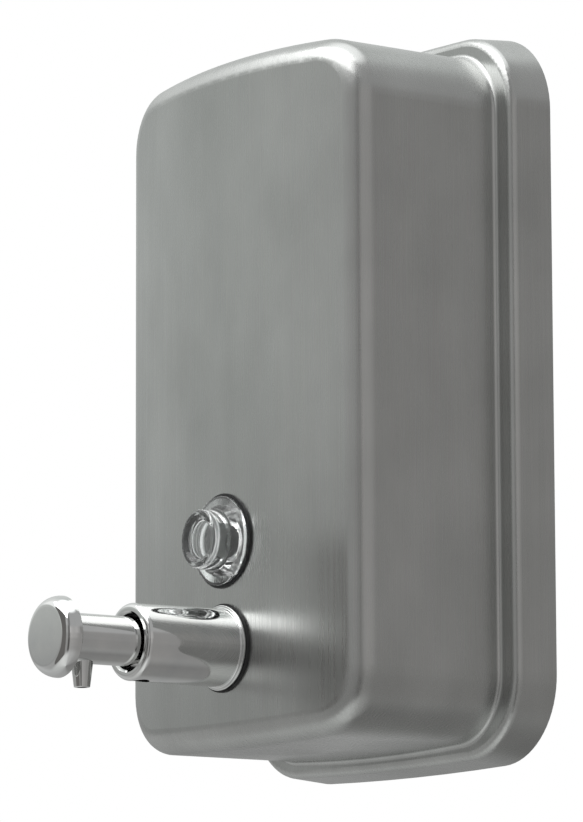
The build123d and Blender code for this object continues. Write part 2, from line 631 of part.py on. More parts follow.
# Outlet valve: a rubber duckbill held in the spout's bore
bill_top = spigot_top - SPOUT_SPIGOT / 4
bill_radius = SPOUT_BORE - PRESS_CLEARANCE
bill_root = bill_top - DUCKBILL_COLLAR
bill_tip = bill_top - DUCKBILL_LENGTH
bill = upright(bill_radius, 0, spout_y, bill_root, bill_top)
lips = Rectangle(DUCKBILL_WIDTH, DUCKBILL_LIPS)
bill += loft([Pos(0, spout_y, bill_root) * Circle(bill_radius), Pos(0, spout_y, bill_tip) * lips])
bill -= Pos(0, spout_y, bill_tip) * Box(bill_radius, DUCKBILL_SLIT, 2 * DUCKBILL_LENGTH)
write(bill, "outlet_valve")

# Pump cylinder: screwed into the sleeve's neck, closed at the back by the inlet cap
cylinder = tube(CYLINDER_BORE, CYLINDER_RADIUS, -CYLINDER_END, -CYLINDER_START, VALVE_Z)
flange_end = CYLINDER_START + CYLINDER_FLANGE
cylinder += tube(CYLINDER_BORE, CYLINDER_FLANGE_RADIUS, -flange_end, -CYLINDER_START, VALVE_Z)
write(cylinder, "pump_cylinder")

# Rod bush: pressed into the cylinder's mouth, where it guides the rod and stops the piston
bush_end = CYLINDER_START + BUSH_LENGTH
bush_bore = ROD_RADIUS + SLIDE_CLEARANCE
bush = tube(bush_bore, CYLINDER_BORE - PRESS_CLEARANCE, -bush_end, -CYLINDER_START, VALVE_Z)
write(bush, "rod_bush")

# Piston rod: a tube from the stem's front end to the piston, which the soap flows through
rod_front = plug_back + ROD_SEAT
rod_back = -(PISTON_START + PISTON_SOCKET)
write(tube(ROD_BORE, ROD_RADIUS, rod_back, rod_front, VALVE_Z), "piston_rod")

# Piston: a head on the rod's end, with a groove for its seal
groove_front = -(PISTON_START + (PISTON_LENGTH - PISTON_SEAL_LENGTH) / 2)
groove_back = groove_front - PISTON_SEAL_LENGTH
groove_floor = PISTON_RADIUS - PISTON_SEAL_DEPTH
piston = turned(
    [
        (ROD_RADIUS + PRESS_CLEARANCE, -PISTON_START),
        (PISTON_RADIUS, -PISTON_START),
        (PISTON_RADIUS, groove_front),
        (groove_floor, groove_front),
        (groove_floor, groove_back),
        (PISTON_RADIUS, groove_back),
        (PISTON_RADIUS, -PISTON_END),
        (ROD_BORE, -PISTON_END),
        (ROD_BORE, rod_back),
        (ROD_RADIUS + PRESS_CLEARANCE, rod_back),
    ],
    VALVE_Z,
)
write(piston, "piston_head")
seal = tube(groove_floor, CYLINDER_BORE - SLIDE_CLEARANCE / 2, groove_back, groove_front, VALVE_Z)
write(seal, "piston_seal")

# Inlet cap: plugs the cylinder, with ports behind the flap and a spigot down to the suction tube
cap_back = CYLINDER_END + CAP_LENGTH
cap_y = FRONT_Y + CYLINDER_END + CAP_LENGTH / 2
cap = rod(CYLINDER_BORE - PRESS_CLEARANCE, -CYLINDER_END, -CAP_FACE, VALVE_Z)
cap += rod(CAP_RADIUS, -cap_back, -CYLINDER_END, VALVE_Z)
cap += upright(CAP_SPIGOT_RADIUS, 0, cap_y, TUBE_TOP - TUBE_LAP, VALVE_Z)
cap -= rod(PLENUM_RADIUS, -(cap_back - CAP_WALL), -(CAP_FACE + CAP_WALL), VALVE_Z)
cap -= upright(INLET_BORE, 0, cap_y, TUBE_TOP - TUBE_LAP, VALVE_Z)
port = rod(INLET_PORT_RADIUS, -(CAP_FACE + 2 * CAP_WALL), -CAP_FACE, VALVE_Z)
for number in range(INLET_PORTS):
    angle = 2 * pi * number / INLET_PORTS
    cap -= Pos(INLET_PORT_CIRCLE * cos(angle), 0, INLET_PORT_CIRCLE * sin(angle)) * port
cap -= rod(FLAP_STEM_RADIUS + PRESS_CLEARANCE, -(CAP_FACE + 2 * CAP_WALL), -CAP_FACE, VALVE_Z)
write(cap, "inlet_cap")

# Inlet valve: a rubber umbrella over the ports, held by its stem
flap_front = -(CAP_FACE - FLAP_THICKNESS)
flap = rod(FLAP_RADIUS, -CAP_FACE, flap_front, VALVE_Z)
flap += rod(FLAP_STEM_RADIUS, -(CAP_FACE + CAP_WALL + FLAP_THICKNESS), -CAP_FACE, VALVE_Z)
write(flap, "inlet_valve")

# Suction tube: pushed on the cap's spigot, cut at a slant just above the tank's floor
tube_bottom = FLOOR_Z + TUBE_FLOOR_GAP
suction = upright(TUBE_RADIUS, 0, cap_y, tube_bottom, TUBE_TOP)
suction -= upright(CAP_SPIGOT_RADIUS + PRESS_CLEARANCE, 0, cap_y, tube_bottom, TUBE_TOP)
slant_block = Box(4 * TUBE_RADIUS, 4 * TUBE_RADIUS, TUBE_RADIUS)
slant = Pos(0, cap_y, tube_bottom) * Rot(TUBE_SLANT, 0, 0) * slant_block
write(suction - slant, "suction_tube")

# Return spring: one unbroken wire from the piston's back to the inlet cap, in quarter turns
spring_front = -(PISTON_END + SPRING_WIRE + SLIDE_CLEARANCE)
spring_back = -(CAP_FACE - SPRING_WIRE - SLIDE_CLEARANCE)
spring_rise = (spring_back - spring_front) / SPRING_TURNS


def spring_point(turn):
    """A point of the wire's middle after a number of turns from the piston."""
    angle = 2 * pi * turn
    y = FRONT_Y - (spring_front + spring_rise * turn)
    return (SPRING_RADIUS * cos(angle), y, VALVE_Z + SPRING_RADIUS * sin(angle))


arcs = []
for quarter in range(4 * SPRING_TURNS):
    start = quarter / 4
    arcs.append(ThreePointArc(spring_point(start), spring_point(start + 0.125), spring_point(start + 0.25)))
wire = Wire([arc.edge() for arc in arcs])
section = Plane(origin=wire @ 0, z_dir=wire % 0) * Circle(SPRING_WIRE)
write(sweep(section, path=wire), "return_spring")
print("return spring, least gap between turns:", round(abs(spring_rise) - 2 * SPRING_WIRE, 2), "mm")
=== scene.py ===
import math

import bmesh
import bpy
from mathutils import Matrix, Vector


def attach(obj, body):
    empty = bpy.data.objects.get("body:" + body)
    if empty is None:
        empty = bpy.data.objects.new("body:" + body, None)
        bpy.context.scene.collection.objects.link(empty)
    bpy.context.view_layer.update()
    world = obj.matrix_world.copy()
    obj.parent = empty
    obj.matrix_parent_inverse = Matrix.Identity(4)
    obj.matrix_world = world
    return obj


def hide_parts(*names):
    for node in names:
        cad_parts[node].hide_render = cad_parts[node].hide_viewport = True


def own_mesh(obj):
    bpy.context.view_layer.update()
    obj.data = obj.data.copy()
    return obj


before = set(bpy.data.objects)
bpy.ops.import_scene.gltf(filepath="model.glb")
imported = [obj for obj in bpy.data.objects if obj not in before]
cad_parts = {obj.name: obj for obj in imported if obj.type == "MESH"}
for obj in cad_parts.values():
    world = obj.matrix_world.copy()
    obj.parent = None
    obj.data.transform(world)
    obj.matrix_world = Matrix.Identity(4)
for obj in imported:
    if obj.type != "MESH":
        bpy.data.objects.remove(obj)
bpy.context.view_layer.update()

scene = bpy.context.scene
scene.view_settings.view_transform = "Standard"

# Camera: a long lens, low down in front of the dispenser and to its right.
# It looks up a little, from about 1.35 m away.


def compass_way(azimuth, elevation):
    """The unit vector at an angle to the right of straight ahead and at an angle of height."""
    level = math.cos(elevation)
    return Vector((math.sin(azimuth) * level, -math.cos(azimuth) * level, math.sin(elevation)))


view_azimuth = math.radians(54.093)
view_elevation = math.radians(-8.705)
view_roll = math.radians(0.197)
view_distance = 1.3529
view_lens = 210.64
view_sensor = 36
aim_point = Vector((0, -0.040, 0))
aim_right = 0.002565
aim_up = 0.001544
camera_back = compass_way(view_azimuth, view_elevation)
level_right = Vector((math.cos(view_azimuth), math.sin(view_azimuth), 0))
level_up = camera_back.cross(level_right)
camera_right = level_right * math.cos(view_roll) - level_up * math.sin(view_roll)
camera_up = level_right * math.sin(view_roll) + level_up * math.cos(view_roll)
camera = bpy.data.objects.new("camera", bpy.data.cameras.new("camera"))
camera.data.lens = view_lens
camera.data.sensor_width = view_sensor
camera.data.clip_start = 0.05
camera_turn = Matrix((camera_right, camera_up, camera_back)).transposed().to_4x4()
camera_place = aim_point + camera_back * view_distance - camera_right * aim_right - camera_up * aim_up
camera.matrix_world = Matrix.Translation(camera_place) @ camera_turn
scene.collection.objects.link(camera)
scene.camera = camera

# Lamp: one wide soft box, high in front of the dispenser and a little to its left.
# It makes the white lines along the top of the tank and on the corners of its rim.
lamp_azimuth = math.radians(-8)
lamp_elevation = math.radians(54)
lamp_roll = math.radians(20)
lamp_distance = 1.5
lamp_width = 1.7
lamp_height = 1.05
lamp_power = 10.4
lamp_way = compass_way(lamp_azimuth, lamp_elevation)
box_lamp = bpy.data.lights.new("soft_box", "AREA")
box_lamp.shape = "RECTANGLE"
box_lamp.size = lamp_width
box_lamp.size_y = lamp_height
box_lamp.energy = lamp_power
soft_box = bpy.data.objects.new("soft_box", box_lamp)
soft_box.location = lamp_way * lamp_distance
lamp_turn = lamp_way.to_track_quat("Z", "Y").to_matrix() @ Matrix.Rotation(lamp_roll, 3, "Z")
soft_box.rotation_euler = lamp_turn.to_euler()
soft_box.visible_camera = False
scene.collection.objects.link(soft_box)

# Room: an even low light from all round, and plain white wherever the camera looks past the dispenser.
# Glass that looks past it sees the same white. Mirrors would too, but they meet the tent.
room_strength = 0.55
white_strength = 1
room = bpy.data.worlds.new("white_room")
room.use_nodes = True
scene.world = room
room_nodes = room.node_tree.nodes
room_links = room.node_tree.links
room_light = room_nodes["Background"]
room_light.inputs["Color"].default_value = (1, 1, 1, 1)
room_light.inputs["Strength"].default_value = room_strength
room_white = room_nodes.new("ShaderNodeBackground")
room_white.inputs["Color"].default_value = (1, 1, 1, 1)
room_white.inputs["Strength"].default_value = white_strength
room_path = room_nodes.new("ShaderNodeLightPath")
sees_white = room_path.outputs["Is Camera Ray"]
for ray_kind in ("Is Glossy Ray", "Is Transmission Ray"):
    either_ray = room_nodes.new("ShaderNodeMath")
    either_ray.operation = "MAXIMUM"
    room_links.new(sees_white, either_ray.inputs[0])
    room_links.new(room_path.outputs[ray_kind], either_ray.inputs[1])
    sees_white = either_ray.outputs[0]
room_mix = room_nodes.new("ShaderNodeMixShader")
room_links.new(sees_white, room_mix.inputs["Fac"])
room_links.new(room_light.outputs[0], room_mix.inputs[1])
room_links.new(room_white.outputs[0], room_mix.inputs[2])
room_links.new(room_mix.outputs[0], room_nodes["World Output"].inputs["Surface"])

# Floor: a plain pale sheet of paper far below the dispenser, which hangs on a wall.
# The metal mirrors the tent instead of the paper.


def finished_mesh(name, shape):
    """A linked object at the origin from a bmesh, which is freed."""
    mesh = bpy.data.meshes.new(name)
    shape.to_mesh(mesh)
    shape.free()
    piece = bpy.data.objects.new(name, mesh)
    scene.collection.objects.link(piece)
    return piece


floor_z = -3.0
floor_half = 20
floor_shape = bmesh.new()
bmesh.ops.create_grid(floor_shape, x_segments=1, y_segments=1, size=floor_half)
bmesh.ops.translate(floor_shape, verts=floor_shape.verts, vec=(0, 0, floor_z))
floor = finished_mesh("floor", floor_shape)
floor.visible_glossy = False
floor_paper = bpy.data.materials.new("floor_paper")
floor_paper.use_nodes = True
floor_shader = floor_paper.node_tree.nodes["Principled BSDF"]
floor_shader.inputs["Base Color"].default_value = (0.93, 0.93, 0.93, 1)
floor_shader.inputs["Roughness"].default_value = 0.9
floor.data.materials.append(floor_paper)

# Tent: a grey cloth all round the set, for the steel to mirror. Only mirrors meet it.
# Its tone goes round with the compass, and is set at six heights from the floor to straight above.


def only_for_mirrors(piece):
    """Hides a piece of the set from all but mirror rays."""
    piece.visible_camera = False
    piece.visible_diffuse = False
    piece.visible_transmission = False
    piece.visible_shadow = False


def glowing_cloth(name):
    """A new material with one Emission shader: the material and the shader."""
    cloth = bpy.data.materials.new(name)
    cloth.use_nodes = True
    tree = cloth.node_tree
    tree.nodes.remove(tree.nodes["Principled BSDF"])
    glow = tree.nodes.new("ShaderNodeEmission")
    tree.links.new(glow.outputs[0], tree.nodes["Material Output"].inputs["Surface"])
    return cloth, glow


tent_radius = 6
tent_shape = bmesh.new()
bmesh.ops.create_icosphere(tent_shape, subdivisions=4, radius=tent_radius)
tent = finished_mesh("grey_tent", tent_shape)
only_for_mirrors(tent)
tent_cloth, tent_glow = glowing_cloth("tent_cloth")
tent_nodes = tent_cloth.node_tree.nodes
tent_links = tent_cloth.node_tree.links
tent_where = tent_nodes.new("ShaderNodeTexCoord")
tent_way = tent_nodes.new("ShaderNodeVectorMath")
tent_way.operation = "NORMALIZE"
tent_links.new(tent_where.outputs["Object"], tent_way.inputs[0])
tent_split = tent_nodes.new("ShaderNodeSeparateXYZ")
tent_links.new(tent_way.outputs[0], tent_split.inputs[0])
tent_front = tent_nodes.new("ShaderNodeMath")
tent_front.operation = "MULTIPLY"
tent_front.inputs[1].default_value = -1
tent_links.new(tent_split.outputs["Y"], tent_front.inputs[0])
tent_angle = tent_nodes.new("ShaderNodeMath")
tent_angle.operation = "ARCTAN2"
tent_links.new(tent_split.outputs["X"], tent_angle.inputs[0])
tent_links.new(tent_front.outputs[0], tent_angle.inputs[1])
tent_turn = tent_nodes.new("ShaderNodeMapRange")
tent_turn.inputs["From Min"].default_value = -math.pi
tent_turn.inputs["From Max"].default_value = math.pi
tent_links.new(tent_angle.outputs[0], tent_turn.inputs["Value"])


def tent_ring(behind, *stops):
    """The tone round one height of the tent, from the tone behind the dispenser.

    Each stop is an angle in degrees to the right of straight ahead, and the tone there.
    """
    ramp = tent_nodes.new("ShaderNodeValToRGB")
    tent_links.new(tent_turn.outputs["Result"], ramp.inputs["Fac"])
    ramp.color_ramp.interpolation = "EASE"
    ramp.color_ramp.elements[0].color = (*behind, 1)
    ramp.color_ramp.elements[1].color = (*behind, 1)
    for degrees, tone in stops:
        stop = ramp.color_ramp.elements.new((degrees + 180) / 360)
        stop.color = (*tone, 1)
    return ramp.outputs["Color"]


def tent_join(lower, upper, low, high):
    """The lower tone up to a height of low, the upper one from high, and a smooth change between."""
    share = tent_nodes.new("ShaderNodeMapRange")
    share.interpolation_type = "SMOOTHSTEP"
    share.inputs["From Min"].default_value = low
    share.inputs["From Max"].default_value = high
    tent_links.new(tent_split.outputs["Z"], share.inputs["Value"])
    mix = tent_nodes.new("ShaderNodeMix")
    mix.data_type = "RGBA"
    tent_links.new(share.outputs["Result"], mix.inputs["Factor"])
    tent_links.new(lower, mix.inputs["A"])
    tent_links.new(upper, mix.inputs["B"])
    return mix.outputs["Result"]


floor_tone = tent_ring(
    (0.25, 0.248, 0.245),
    (-150, (0.26, 0.26, 0.255)),
    (-124, (0.40, 0.402, 0.40)),
    (-90, (0.50, 0.505, 0.50)),
    (-60, (0.56, 0.57, 0.56)),
    (15, (0.80, 0.81, 0.80)),
    (36, (0.76, 0.77, 0.76)),
    (70, (0.50, 0.50, 0.495)),
    (130, (0.34, 0.34, 0.335)),
    (162, (0.24, 0.238, 0.235)),
)
ground_tone = tent_ring(
    (0.24, 0.238, 0.235),
    (-150, (0.26, 0.26, 0.255)),
    (-124, (0.39, 0.392, 0.39)),
    (-98, (0.48, 0.485, 0.48)),
    (-76, (0.56, 0.565, 0.56)),
    (-48, (0.42, 0.42, 0.415)),
    (-12, (0.34, 0.34, 0.335)),
    (34, (0.32, 0.318, 0.315)),
    (41, (0.09, 0.088, 0.085)),
    (47, (0.09, 0.088, 0.085)),
    (56, (0.38, 0.375, 0.37)),
    (120, (0.30, 0.295, 0.29)),
    (142, (0.31, 0.305, 0.30)),
)
skirting_tone = tent_ring(
    (0.30, 0.295, 0.29),
    (-124, (0.42, 0.422, 0.42)),
    (-96, (0.42, 0.422, 0.42)),
    (-70, (0.36, 0.365, 0.36)),
    (-26, (0.35, 0.35, 0.345)),
    (34, (0.34, 0.338, 0.335)),
    (41, (0.13, 0.128, 0.125)),
    (46, (0.13, 0.128, 0.125)),
    (56, (0.46, 0.45, 0.445)),
    (84, (0.42, 0.41, 0.405)),
    (112, (0.31, 0.305, 0.30)),
    (142, (0.33, 0.325, 0.32)),
)
horizon_tone = tent_ring(
    (0.42, 0.42, 0.42),
    (-126, (0.58, 0.60, 0.59)),
    (-92, (0.69, 0.71, 0.70)),
    (-78, (0.66, 0.68, 0.67)),
    (-68, (0.57, 0.59, 0.575)),
    (-58, (0.55, 0.57, 0.555)),
    (-47, (0.49, 0.51, 0.495)),
    (-34, (0.55, 0.565, 0.55)),
    (-22, (0.50, 0.505, 0.50)),
    (2, (0.44, 0.44, 0.435)),
    (26, (0.42, 0.42, 0.415)),
    (35, (0.38, 0.38, 0.375)),
    (41, (0.13, 0.128, 0.125)),
    (46, (0.13, 0.128, 0.125)),
    (54, (0.60, 0.59, 0.585)),
    (62, (0.50, 0.49, 0.485)),
    (76, (0.46, 0.45, 0.445)),
    (94, (0.48, 0.47, 0.465)),
    (108, (0.38, 0.375, 0.37)),
    (117, (0.265, 0.26, 0.255)),
    (127, (0.34, 0.335, 0.33)),
    (142, (0.345, 0.34, 0.335)),
)
upper_tone = tent_ring(
    (0.60, 0.62, 0.61),
    (-110, (0.72, 0.74, 0.73)),
    (-85, (0.82, 0.84, 0.83)),
    (-66, (1.08, 1.10, 1.09)),
    (-36, (1.08, 1.10, 1.09)),
    (10, (0.70, 0.70, 0.70)),
    (35, (0.46, 0.46, 0.46)),
    (42, (0.22, 0.22, 0.22)),
    (48, (0.22, 0.22, 0.22)),
    (58, (0.44, 0.44, 0.44)),
    (135, (0.44, 0.44, 0.44)),
)
top_tone = tent_ring((1.60, 1.62, 1.62), (0, (1.70, 1.72, 1.72)))
up_to_ground = tent_join(floor_tone, ground_tone, low=-0.8, high=-0.55)
up_to_skirting = tent_join(up_to_ground, skirting_tone, low=-0.2, high=-0.05)
up_to_horizon = tent_join(up_to_skirting, horizon_tone, low=0.03, high=0.17)
up_to_lamp = tent_join(up_to_horizon, upper_tone, low=0.3, high=0.46)
tent_tone = tent_join(up_to_lamp, top_tone, low=0.85, high=0.95)
tent_links.new(tent_tone, tent_glow.inputs["Color"])
tent.data.materials.append(tent_cloth)

# Flag: a small dark card close before the button. Only mirrors meet it.
# It draws the dark crescent along the edge of the button's flat face, and its left edge gives the shape.
flag_y = -0.158
flag_right = 0.021
flag_top = -0.03
flag_bottom = -0.108
flag_left_edge = [
    (-0.026, flag_top),
    (-0.026, -0.040),
    (-0.016, -0.052),
    (-0.012, -0.064),
    (-0.013, -0.076),
    (-0.020, -0.086),
    (-0.020, flag_bottom),
]
flag_outline = [(flag_right, flag_bottom), (flag_right, flag_top)] + flag_left_edge
flag_shape = bmesh.new()
flag_corners = [flag_shape.verts.new((across, flag_y, up)) for across, up in flag_outline]
flag_shape.faces.new(flag_corners)
flag = finished_mesh("dark_flag", flag_shape)
only_for_mirrors(flag)
flag_cloth, flag_glow = glowing_cloth("flag_cloth")
flag_glow.inputs["Color"].default_value = (0.15, 0.145, 0.14, 1)
flag.data.materials.append(flag_cloth)

# Wall plate: folded from 1.5 mm steel and zinc plated, screwed flat to the wall behind the tank.
# The plating shows small crystals and a dull bloom.


def new_finish(name, metallic, roughness):
    """A new material with one plain Principled shader: the material, its node tree and the shader."""
    material = bpy.data.materials.new(name)
    material.use_nodes = True
    shader = material.node_tree.nodes["Principled BSDF"]
    shader.inputs["Metallic"].default_value = metallic
    shader.inputs["Roughness"].default_value = roughness
    return material, material.node_tree, shader


def dress(finish, *names):
    """Gives a finish to CAD pieces, by name."""
    for name in names:
        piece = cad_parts[name]
        piece.data.materials.clear()
        piece.data.materials.append(finish)


soft_clouds = bpy.data.node_groups.new("soft_clouds", "ShaderNodeTree")
soft_clouds.interface.new_socket("Scale", in_out="INPUT", socket_type="NodeSocketFloat")
soft_clouds.interface.new_socket("Detail", in_out="INPUT", socket_type="NodeSocketFloat")
soft_clouds.interface.new_socket("Stretch", in_out="INPUT", socket_type="NodeSocketVector")
soft_clouds.interface.new_socket("Clouds", in_out="OUTPUT", socket_type="NodeSocketFloat")
clouds_in = soft_clouds.nodes.new("NodeGroupInput")
clouds_out = soft_clouds.nodes.new("NodeGroupOutput")
clouds_where = soft_clouds.nodes.new("ShaderNodeTexCoord")
clouds_place = soft_clouds.nodes.new("ShaderNodeVectorMath")
clouds_place.operation = "MULTIPLY"
soft_clouds.links.new(clouds_where.outputs["Object"], clouds_place.inputs[0])
soft_clouds.links.new(clouds_in.outputs["Stretch"], clouds_place.inputs[1])
clouds_noise = soft_clouds.nodes.new("ShaderNodeTexNoise")
soft_clouds.links.new(clouds_place.outputs[0], clouds_noise.inputs["Vector"])
soft_clouds.links.new(clouds_in.outputs["Scale"], clouds_noise.inputs["Scale"])
soft_clouds.links.new(clouds_in.outputs["Detail"], clouds_noise.inputs["Detail"])
clouds_contrast = soft_clouds.nodes.new("ShaderNodeMapRange")
clouds_contrast.inputs["From Min"].default_value = 0.3
clouds_contrast.inputs["From Max"].default_value = 0.7
soft_clouds.links.new(clouds_noise.outputs["Fac"], clouds_contrast.inputs["Value"])
soft_clouds.links.new(clouds_contrast.outputs["Result"], clouds_out.inputs["Clouds"])


def cloudy(tree, scale, detail, stretch=(1, 1, 1)):
    """The soft clouds in a material, from 0 to 1. A stretch below 1 draws them out along X, Y or Z."""
    clouds = tree.nodes.new("ShaderNodeGroup")
    clouds.node_tree = soft_clouds
    clouds.inputs["Scale"].default_value = scale
    clouds.inputs["Detail"].default_value = detail
    clouds.inputs["Stretch"].default_value = stretch
    return clouds.outputs["Clouds"]


def tones(tree, mask, dark, light, socket):
    """Runs a colour from dark to light by a mask, into a socket."""
    mix = tree.nodes.new("ShaderNodeMix")
    mix.data_type = "RGBA"
    mix.inputs["A"].default_value = (*dark, 1)
    mix.inputs["B"].default_value = (*light, 1)
    tree.links.new(mask, mix.inputs["Factor"])
    tree.links.new(mix.outputs["Result"], socket)


def dullness(tree, mask, low, high, shader):
    """Runs the shader's roughness from low to high by a mask."""
    run = tree.nodes.new("ShaderNodeMapRange")
    run.inputs["To Min"].default_value = low
    run.inputs["To Max"].default_value = high
    tree.links.new(mask, run.inputs["Value"])
    tree.links.new(run.outputs["Result"], shader.inputs["Roughness"])


def relief(tree, height, depth, strength, shader):
    """A bump of a depth in metres, from a height, on the shader's normal."""
    bump = tree.nodes.new("ShaderNodeBump")
    bump.inputs["Distance"].default_value = depth
    bump.inputs["Strength"].default_value = strength
    tree.links.new(height, bump.inputs["Height"])
    tree.links.new(bump.outputs["Normal"], shader.inputs["Normal"])


zinc, zinc_tree, zinc_shader = new_finish("zinc_plate", metallic=1, roughness=0.38)
zinc_dull = (0.47, 0.49, 0.52)
zinc_bright = (0.66, 0.66, 0.63)
zinc_where = zinc_tree.nodes.new("ShaderNodeTexCoord")
zinc_crystals = zinc_tree.nodes.new("ShaderNodeTexVoronoi")
zinc_crystals.inputs["Scale"].default_value = 420
zinc_tree.links.new(zinc_where.outputs["Object"], zinc_crystals.inputs["Vector"])
zinc_facets = zinc_crystals.outputs["Distance"]
zinc_bloom = cloudy(zinc_tree, scale=60, detail=4)
tones(zinc_tree, zinc_bloom, zinc_dull, zinc_bright, zinc_shader.inputs["Base Color"])
dullness(zinc_tree, zinc_facets, low=0.3, high=0.48, shader=zinc_shader)
relief(zinc_tree, zinc_facets, depth=0.00004, strength=0.3, shader=zinc_shader)
dress(zinc, "wall_plate")

# Tank: deep drawn from 0.8 mm stainless sheet in one pressing, with its rim and skirt, then satin ground.
# The grinding leaves fine upright lines and soft cloudy patches. Lid and hinge leaf have the same finish.
satin, satin_tree, satin_shader = new_finish("satin_steel", metallic=1, roughness=0.3)
satin_shader.inputs["Anisotropic"].default_value = 0.6
satin_dark = (0.468, 0.475, 0.466)
satin_light = (0.576, 0.583, 0.574)
lines_across = 1500
lines_along = 16
streak_share = 0.25
satin_where = satin_tree.nodes.new("ShaderNodeTexCoord")
satin_place = satin_tree.nodes.new("ShaderNodeVectorMath")
satin_place.operation = "MULTIPLY"
satin_place.inputs[1].default_value = (lines_across, lines_across, lines_along)
satin_tree.links.new(satin_where.outputs["Object"], satin_place.inputs[0])
satin_noise = satin_tree.nodes.new("ShaderNodeTexNoise")
satin_noise.inputs["Scale"].default_value = 1
satin_noise.inputs["Detail"].default_value = 3
satin_tree.links.new(satin_place.outputs[0], satin_noise.inputs["Vector"])
satin_lines = satin_noise.outputs["Fac"]
satin_clouds = satin_tree.nodes.new("ShaderNodeMix")
satin_clouds.inputs["Factor"].default_value = streak_share
wide_clouds = cloudy(satin_tree, scale=38, detail=5, stretch=(1, 1, 0.7))
streak_clouds = cloudy(satin_tree, scale=90, detail=2, stretch=(1, 1, 0.12))
satin_tree.links.new(wide_clouds, satin_clouds.inputs["A"])
satin_tree.links.new(streak_clouds, satin_clouds.inputs["B"])
satin_patches = satin_clouds.outputs["Result"]
tones(satin_tree, satin_patches, satin_dark, satin_light, satin_shader.inputs["Base Color"])
dullness(satin_tree, satin_lines, low=0.2, high=0.36, shader=satin_shader)
relief(satin_tree, satin_lines, depth=0.00002, strength=0.07, shader=satin_shader)
dress(satin, "tank_shell", "filler_lid", "hinge_leaf")

# Back and hangers: mill finished stainless sheet. The back is welded inside the step of the pressing,
# and the two hanger channels are spot welded to it.
# Each spot weld leaves a small dimple with a straw and blue heat ring.
mill, mill_tree, mill_shader = new_finish("mill_steel", metallic=1, roughness=0.34)
mill_dark = (0.5, 0.51, 0.5)
mill_light = (0.6, 0.6, 0.59)
weld_side = 0.015
weld_heights = (0.072, -0.0395)
weld_radius = 0.007
weld_core = (0.42, 0.43, 0.43)
weld_grey = (0.4, 0.4, 0.42)
weld_blue = (0.5, 0.56, 0.74)
weld_straw = (0.92, 0.8, 0.58)
mill_where = mill_tree.nodes.new("ShaderNodeTexCoord")
mill_split = mill_tree.nodes.new("ShaderNodeSeparateXYZ")
mill_tree.links.new(mill_where.outputs["Object"], mill_split.inputs[0])
mill_fold = mill_tree.nodes.new("ShaderNodeMath")
mill_fold.operation = "ABSOLUTE"
mill_tree.links.new(mill_split.outputs["X"], mill_fold.inputs[0])
mill_face = mill_tree.nodes.new("ShaderNodeCombineXYZ")
mill_tree.links.new(mill_fold.outputs[0], mill_face.inputs["X"])
mill_tree.links.new(mill_split.outputs["Z"], mill_face.inputs["Z"])
weld_near = mill_tree.nodes.new("ShaderNodeMath")
weld_near.operation = "MINIMUM"
for weld_place, weld_height in enumerate(weld_heights):
    weld_reach = mill_tree.nodes.new("ShaderNodeVectorMath")
    weld_reach.operation = "DISTANCE"
    weld_reach.inputs[1].default_value = (weld_side, 0, weld_height)
    mill_tree.links.new(mill_face.outputs[0], weld_reach.inputs[0])
    mill_tree.links.new(weld_reach.outputs["Value"], weld_near.inputs[weld_place])
weld_span = mill_tree.nodes.new("ShaderNodeMapRange")
weld_span.inputs["From Max"].default_value = weld_radius
mill_tree.links.new(weld_near.outputs[0], weld_span.inputs["Value"])
weld_ring = mill_tree.nodes.new("ShaderNodeValToRGB")
mill_tree.links.new(weld_span.outputs["Result"], weld_ring.inputs["Fac"])
weld_ring.color_ramp.elements[0].color = (*weld_core, 1)
weld_ring.color_ramp.elements[1].color = (1, 1, 1, 1)
for weld_stop, weld_tint in ((0.34, weld_grey), (0.46, weld_blue), (0.66, weld_straw)):
    weld_ring.color_ramp.elements.new(weld_stop).color = (*weld_tint, 1)
mill_rolled = cloudy(mill_tree, scale=70, detail=4, stretch=(0.1, 1, 1))
mill_base = mill_tree.nodes.new("ShaderNodeMix")
mill_base.data_type = "RGBA"
mill_base.blend_type = "MULTIPLY"
mill_base.inputs["Factor"].default_value = 1
tones(mill_tree, mill_rolled, mill_dark, mill_light, mill_base.inputs["A"])
mill_tree.links.new(weld_ring.outputs["Color"], mill_base.inputs["B"])
mill_tree.links.new(mill_base.outputs["Result"], mill_shader.inputs["Base Color"])
dullness(mill_tree, mill_rolled, low=0.28, high=0.42, shader=mill_shader)
relief(mill_tree, weld_span.outputs["Result"], depth=0.0002, strength=0.4, shader=mill_shader)
dress(mill, "tank_back", "hanger_channels")

# Hinge pin: a short length of drawn stainless rod, pressed through the knuckles of the leaf.
# The piston rod is the same steel. Drawing leaves fine lines and a half bright face.
drawn, drawn_tree, drawn_shader = new_finish("drawn_steel", metallic=1, roughness=0.24)
drawn_dark = (0.52, 0.52, 0.51)
drawn_light = (0.64, 0.64, 0.62)
drawn_lines = cloudy(drawn_tree, scale=900, detail=3, stretch=(1, 0.06, 1))
tones(drawn_tree, drawn_lines, drawn_dark, drawn_light, drawn_shader.inputs["Base Color"])
dullness(drawn_tree, drawn_lines, low=0.16, high=0.34, shader=drawn_shader)
relief(drawn_tree, drawn_lines, depth=0.00001, strength=0.3, shader=drawn_shader)
dress(drawn, "hinge_pin", "piston_rod")

